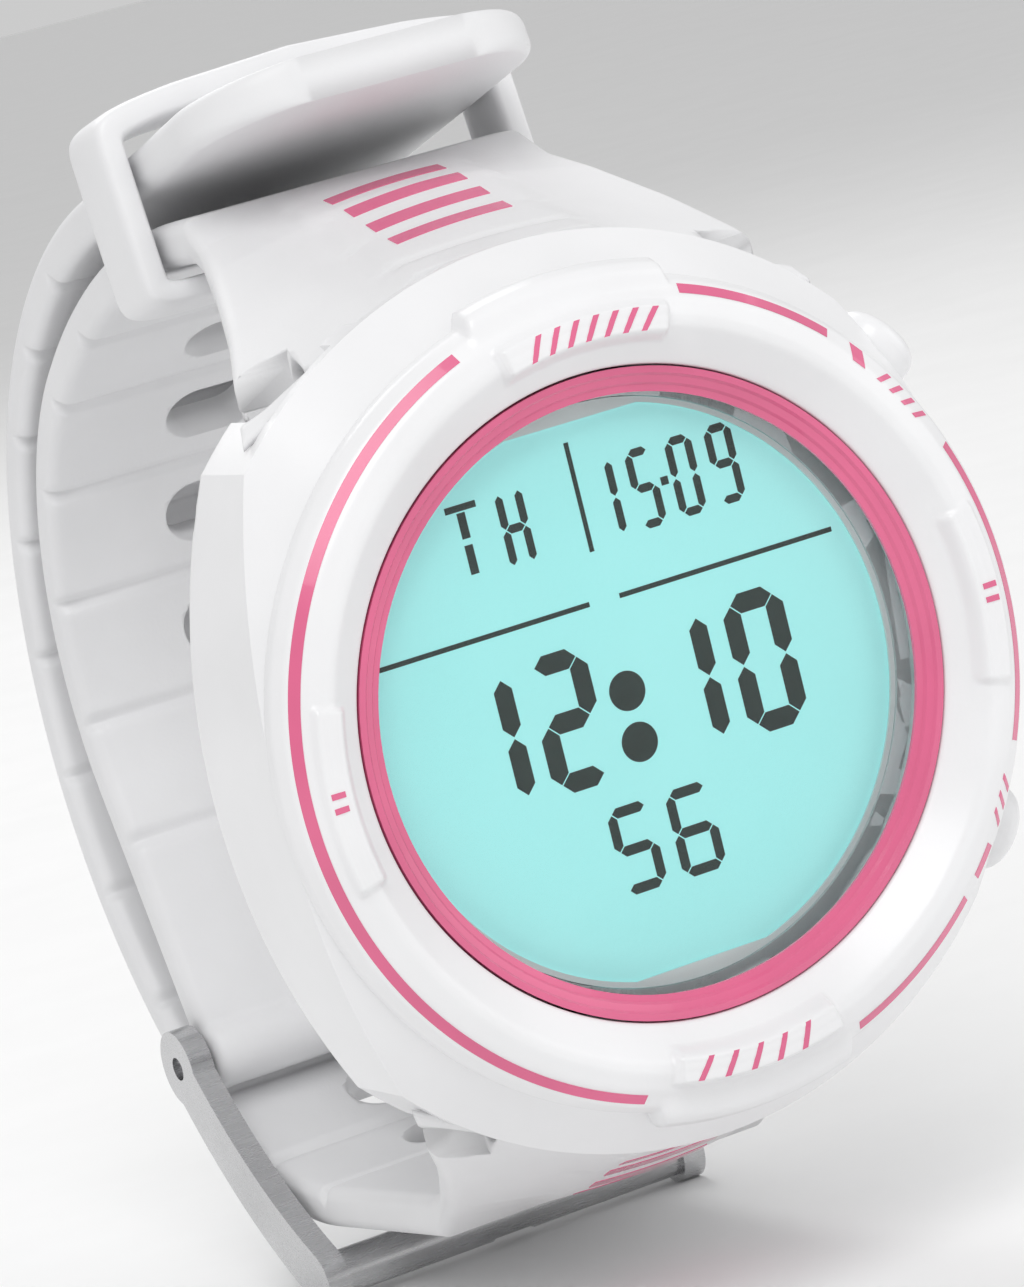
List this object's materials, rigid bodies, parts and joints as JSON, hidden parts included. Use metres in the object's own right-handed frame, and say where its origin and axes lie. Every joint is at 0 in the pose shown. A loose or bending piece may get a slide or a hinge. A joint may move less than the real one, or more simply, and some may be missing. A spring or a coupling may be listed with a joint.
{
  "type": "wrist dive computer",
  "caption": "Round-faced wrist dive computer with cushion case, digital display, side buttons, moulded rubber strap, steel buckle and free keeper.",
  "frame": {"origin": "centre of the flat outer face of the case back, on the battery hatch", "axes": "+Y out of the case back into the wrist, so the face looks along -Y; +Z towards 12 o'clock; +X towards 3 o'clock"},
  "size_m": [0.0494, 0.0732, 0.0802],
  "materials": {
    "case_plastic": "satin white moulded plastic",
    "trim_pink": "glossy pink plastic",
    "lens_glass": "clear polished mineral glass",
    "mask_print": "white printed film",
    "display": "turquoise liquid-crystal display",
    "diffuser": "frosted light guide",
    "strap_rubber": "satin white moulded rubber",
    "keeper_rubber": "satin white moulded rubber",
    "seal_rubber": "black nitrile",
    "connector_rubber": "striped conductive elastomer",
    "polished_steel": "brushed and polished stainless steel",
    "back_steel": "circular-brushed stainless steel",
    "spring_steel": "drawn spring wire",
    "cell_steel": "nickel-plated can",
    "contact_brass": "gold-plated phosphor bronze",
    "board": "green solder mask",
    "chip": "black epoxy",
    "frame_plastic": "dark grey moulded plastic",
    "sensor": "steel can with gel front"
  },
  "bodies": {
    "case": {"mid_case": "case_plastic", "bezel": "case_plastic", "trim_ring": "trim_pink", "lens": "lens_glass", "lens_seal": "seal_rubber", "display_mask": "mask_print", "lcd_panel": "display", "backlight": "diffuser", "display_connectors": "connector_rubber", "module_frame": "frame_plastic", "circuit_board": "board", "side_switches": "chip", "chips": "chip", "battery": "cell_steel", "battery_contacts": "contact_brass", "buzzer": "contact_brass", "pressure_sensor": "sensor", "case_back": "back_steel", "case_back_screws": "polished_steel", "case_back_seal": "seal_rubber", "button_spring_upper": "spring_steel", "button_spring_lower": "spring_steel", "button_seals": "seal_rubber", "spring_bar_top": "polished_steel", "spring_bar_bottom": "polished_steel", "strap_top": "strap_rubber", "strap_bottom": "strap_rubber", "buckle_pin": "polished_steel", "bar_spring_top_left": "spring_steel", "bar_spring_top_right": "spring_steel", "bar_spring_bottom_left": "spring_steel", "bar_spring_bottom_right": "spring_steel"},
    "button_upper": {"button_upper": "case_plastic", "button_clip_upper": "spring_steel"},
    "button_lower": {"button_lower": "case_plastic", "button_clip_lower": "spring_steel"},
    "battery_hatch": {"battery_hatch": "back_steel", "hatch_seal": "seal_rubber"},
    "buckle_frame": {"buckle_frame": "polished_steel"},
    "buckle_tongue": {"buckle_tongue": "polished_steel"},
    "keeper": {"keeper": "keeper_rubber"},
    "bar_tip_top_left": {"bar_tip_top_left": "polished_steel"},
    "bar_tip_top_right": {"bar_tip_top_right": "polished_steel"},
    "bar_tip_bottom_left": {"bar_tip_bottom_left": "polished_steel"},
    "bar_tip_bottom_right": {"bar_tip_bottom_right": "polished_steel"}
  },
  "joints": [
    {"name": "button_upper_press", "type": "slide", "parent": "case", "child": "button_upper", "axis": [-0.829, 0, -0.5592], "range_m": [0, 0.0012], "stiffness_N_per_m": 1500, "springref_m": -0.001, "deforming": ["button_spring_upper"]},
    {"name": "button_lower_press", "type": "slide", "parent": "case", "child": "button_lower", "axis": [-0.829, 0, 0.5592], "range_m": [0, 0.0012], "stiffness_N_per_m": 1500, "springref_m": -0.001, "deforming": ["button_spring_lower"]},
    {"name": "battery_hatch_turn", "type": "hinge", "parent": "case", "child": "battery_hatch", "pos_m": [0, 0, 0], "axis": [0, 1, 0], "range_deg": [0, 45]},
    {"name": "bar_tip_top_left_push", "type": "slide", "parent": "case", "child": "bar_tip_top_left", "axis": [1, 0, 0], "range_m": [0, 0.0017], "stiffness_N_per_m": 800, "springref_m": -0.001, "deforming": ["bar_spring_top_left"]},
    {"name": "bar_tip_top_right_push", "type": "slide", "parent": "case", "child": "bar_tip_top_right", "axis": [-1, 0, 0], "range_m": [0, 0.0017], "stiffness_N_per_m": 800, "springref_m": -0.001, "deforming": ["bar_spring_top_right"]},
    {"name": "bar_tip_bottom_left_push", "type": "slide", "parent": "case", "child": "bar_tip_bottom_left", "axis": [1, 0, 0], "range_m": [0, 0.0017], "stiffness_N_per_m": 800, "springref_m": -0.001, "deforming": ["bar_spring_bottom_left"]},
    {"name": "bar_tip_bottom_right_push", "type": "slide", "parent": "case", "child": "bar_tip_bottom_right", "axis": [-1, 0, 0], "range_m": [0, 0.0017], "stiffness_N_per_m": 800, "springref_m": -0.001, "deforming": ["bar_spring_bottom_right"]},
    {"name": "buckle_frame_swing", "type": "hinge", "parent": "case", "child": "buckle_frame", "pos_m": [0, 0.04281, -0.02367], "axis": [1, 0, 0], "range_deg": [-2.3, 3.1]},
    {"name": "buckle_tongue_swing", "type": "hinge", "parent": "buckle_frame", "child": "buckle_tongue", "pos_m": [0, 0.04281, -0.02367], "axis": [1, 0, 0], "range_deg": [-0.5, 0.5]},
    {"name": "keeper_slide", "type": "slide", "parent": "case", "child": "keeper", "axis": [0, 0.9842, -0.1773], "range_m": [-0.0029, 0.01]}
  ]
}
